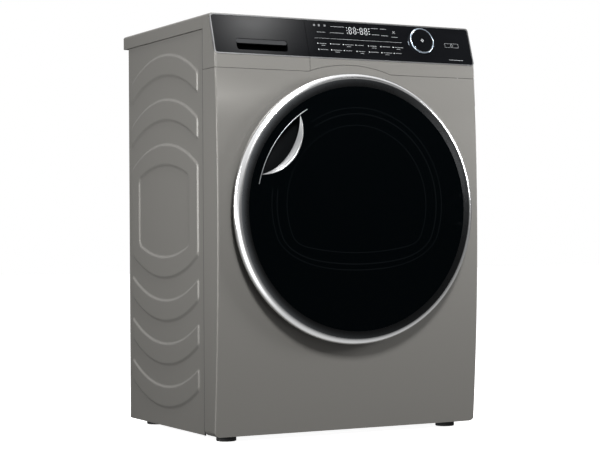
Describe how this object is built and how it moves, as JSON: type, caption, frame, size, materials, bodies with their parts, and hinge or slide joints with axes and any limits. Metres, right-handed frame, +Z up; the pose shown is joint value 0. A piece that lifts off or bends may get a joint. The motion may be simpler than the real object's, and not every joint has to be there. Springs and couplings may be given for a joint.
{
  "type": "clothes dryer",
  "caption": "Free-standing front-loading heat pump clothes dryer with a round smoked glass door, a water drawer and a turning programme knob.",
  "frame": {"origin": "on the floor, under the middle of the whole bounding box", "axes": "+Z up, -Y towards the door (front), +X to the user's right when facing the door"},
  "size_m": [0.6, 0.544, 0.845],
  "materials": {
    "body_paint": "warm metallic grey, satin",
    "fascia_black": "deep black, glossy",
    "silver_rim": "bright satin chrome",
    "knob_ring": "cool silver",
    "smoked_glass": "smoked, polished",
    "bowl_glass": "dark clear",
    "black_plastic": "fine texture",
    "grey_plastic": "fine texture",
    "tank_plastic": "milky",
    "zinc_steel": "zinc coated",
    "stainless": "brushed",
    "bearing_metal": "cast",
    "rubber": "matt",
    "belt_rubber": "ribbed",
    "seal_rubber": "soft grey",
    "fin_aluminium": "finned",
    "compressor_paint": "black enamel",
    "board_green": "circuit board",
    "mesh_fabric": "fine mesh"
  },
  "bodies": {
    "case": {"side_panel_left": "body_paint", "side_panel_right": "body_paint", "top_cover": "body_paint", "front_panel": "body_paint", "console_housing": "body_paint", "console_fascia": "fascia_black", "console_trim": "silver_rim", "latch_catch": "black_plastic", "base_tray": "black_plastic", "filter_housing": "black_plastic", "cord_gland": "black_plastic", "tunnel_collar": "grey_plastic", "tank_housing": "grey_plastic", "drain_spigot": "grey_plastic", "rear_panel": "zinc_steel", "rear_duct_cover": "zinc_steel", "front_bulkhead": "zinc_steel", "hinge_bracket": "zinc_steel", "hinge_pin": "zinc_steel", "roller_axles": "zinc_steel", "case_screws": "zinc_steel", "rear_bearing": "bearing_metal", "drive_motor": "bearing_metal", "drum_belt": "belt_rubber", "evaporator": "fin_aluminium", "condenser": "fin_aluminium", "compressor": "compressor_paint", "control_board": "board_green"},
    "door": {"door_ring": "silver_rim", "door_glass": "smoked_glass", "door_back_shell": "black_plastic", "door_bowl": "bowl_glass", "door_handle_cup": "black_plastic", "door_handle_crescent": "silver_rim", "door_handle_trim": "silver_rim", "door_seal": "seal_rubber", "door_hinge_arm": "zinc_steel", "door_latch_hook": "black_plastic"},
    "drum": {"drum_shell": "stainless", "drum_back": "stainless", "drum_lifters": "grey_plastic"},
    "rotor": {"motor_rotor": "zinc_steel", "fan_wheel": "black_plastic"},
    "roller_left": {"support_roller_left": "rubber"},
    "roller_right": {"support_roller_right": "rubber"},
    "idler": {"idler_pulley": "black_plastic"},
    "knob": {"program_knob": "knob_ring"},
    "start_key": {"start_button": "fascia_black"},
    "power_key": {"power_button": "fascia_black"},
    "drawer": {"drawer_front": "fascia_black", "drawer_grip": "black_plastic", "drawer_band": "body_paint", "drawer_trim": "silver_rim", "water_tank": "tank_plastic"},
    "filter": {"lint_filter_frame": "grey_plastic", "lint_filter_mesh": "mesh_fabric"},
    "foot_fl": {"foot_front_left": "rubber"},
    "foot_fr": {"foot_front_right": "rubber"},
    "foot_rl": {"foot_rear_left": "rubber"},
    "foot_rr": {"foot_rear_right": "rubber"}
  },
  "joints": [
    {"name": "door_swing", "type": "hinge", "parent": "case", "child": "door", "pos_m": [0.262, -0.254, 0.459], "axis": [0, 0, 1], "range_deg": [0, 165]},
    {"name": "drum_spin", "type": "hinge", "parent": "case", "child": "drum", "pos_m": [0, 0, 0.478], "axis": [0, 1, 0], "continuous": true},
    {"name": "rotor_spin", "type": "hinge", "parent": "case", "child": "rotor", "pos_m": [0.17, 0, 0.12], "axis": [0, 1, 0], "continuous": true},
    {"name": "roller_left_spin", "type": "hinge", "parent": "case", "child": "roller_left", "pos_m": [-0.17, 0, 0.23532], "axis": [0, 1, 0], "continuous": true},
    {"name": "roller_right_spin", "type": "hinge", "parent": "case", "child": "roller_right", "pos_m": [0.17, 0, 0.23532], "axis": [0, 1, 0], "continuous": true},
    {"name": "idler_spin", "type": "hinge", "parent": "case", "child": "idler", "pos_m": [0.03, 0, 0.166], "axis": [0, 1, 0], "continuous": true},
    {"name": "knob_turn", "type": "hinge", "parent": "case", "child": "knob", "pos_m": [0.178, -0.21342, 0.8101], "axis": [0, -0.9504, 0.3109], "continuous": true},
    {"name": "start_press", "type": "slide", "parent": "case", "child": "start_key", "axis": [0, 0.9504, -0.3109], "range_m": [0, 0.001], "stiffness_N_per_m": 1500, "springref_m": -0.0008},
    {"name": "power_press", "type": "slide", "parent": "case", "child": "power_key", "axis": [0, 0.9504, -0.3109], "range_m": [0, 0.0008], "stiffness_N_per_m": 1500, "springref_m": -0.0008},
    {"name": "tank_slide", "type": "slide", "parent": "case", "child": "drawer", "axis": [0, -1, 0], "range_m": [0, 0.36]},
    {"name": "filter_lift", "type": "slide", "parent": "case", "child": "filter", "axis": [0, 0, 1], "range_m": [0, 0.15]},
    {"name": "foot_fl_screw", "type": "slide", "parent": "case", "child": "foot_fl", "axis": [0, 0, -1], "range_m": [0, 0.012]},
    {"name": "foot_fr_screw", "type": "slide", "parent": "case", "child": "foot_fr", "axis": [0, 0, -1], "range_m": [0, 0.012]},
    {"name": "foot_rl_screw", "type": "slide", "parent": "case", "child": "foot_rl", "axis": [0, 0, -1], "range_m": [0, 0.012]},
    {"name": "foot_rr_screw", "type": "slide", "parent": "case", "child": "foot_rr", "axis": [0, 0, -1], "range_m": [0, 0.012]}
  ],
  "couplings": [
    {"joint": "rotor_spin", "follows": "drum_spin", "ratio": 30.667},
    {"joint": "roller_left_spin", "follows": "drum_spin", "ratio": -13.8},
    {"joint": "roller_right_spin", "follows": "drum_spin", "ratio": -13.8},
    {"joint": "idler_spin", "follows": "drum_spin", "ratio": 18.4}
  ]
}
